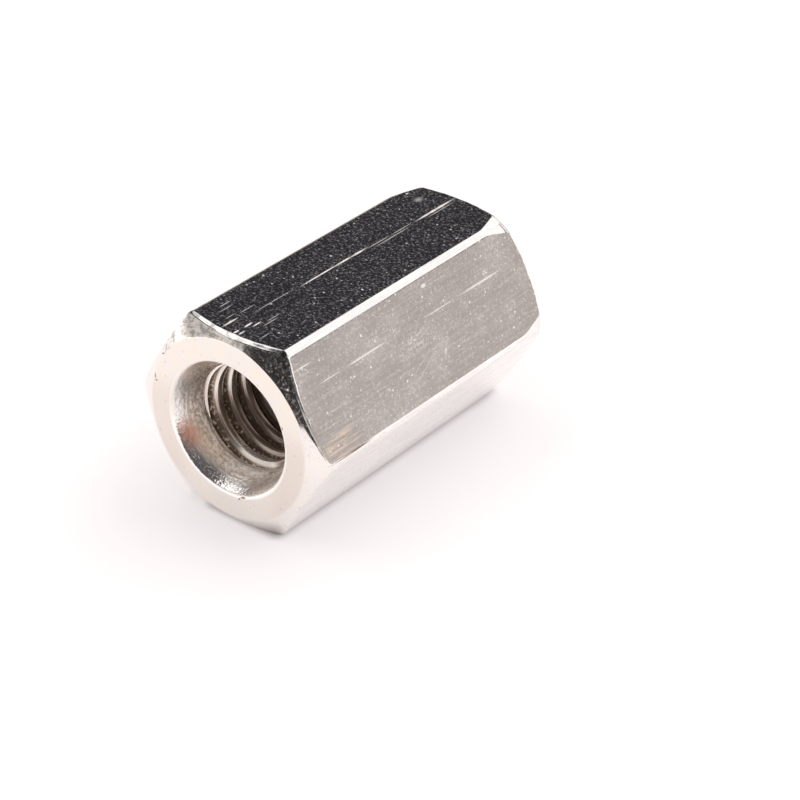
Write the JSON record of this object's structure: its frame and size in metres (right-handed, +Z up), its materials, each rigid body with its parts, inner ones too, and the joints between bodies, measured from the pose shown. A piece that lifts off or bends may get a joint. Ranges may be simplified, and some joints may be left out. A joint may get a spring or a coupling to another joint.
{
  "type": "hex standoff",
  "caption": "Bright plated female hex standoff: a hexagonal bar with chamfered ends and a threaded bore right through, opening in a flared mouth at each end.",
  "frame": {"origin": "middle of the flat that the standoff rests on", "axes": "+Y along the bore axis towards the far end, +Z up, +X to the side, square to both"},
  "size_m": [0.0114, 0.018, 0.01],
  "materials": {
    "nickel_plate": "bright nickel plate over drawn bar, with fine draw lines, pinholes and a few scratches"
  },
  "bodies": {
    "root": {"standoff": "nickel_plate"}
  },
  "joints": []
}
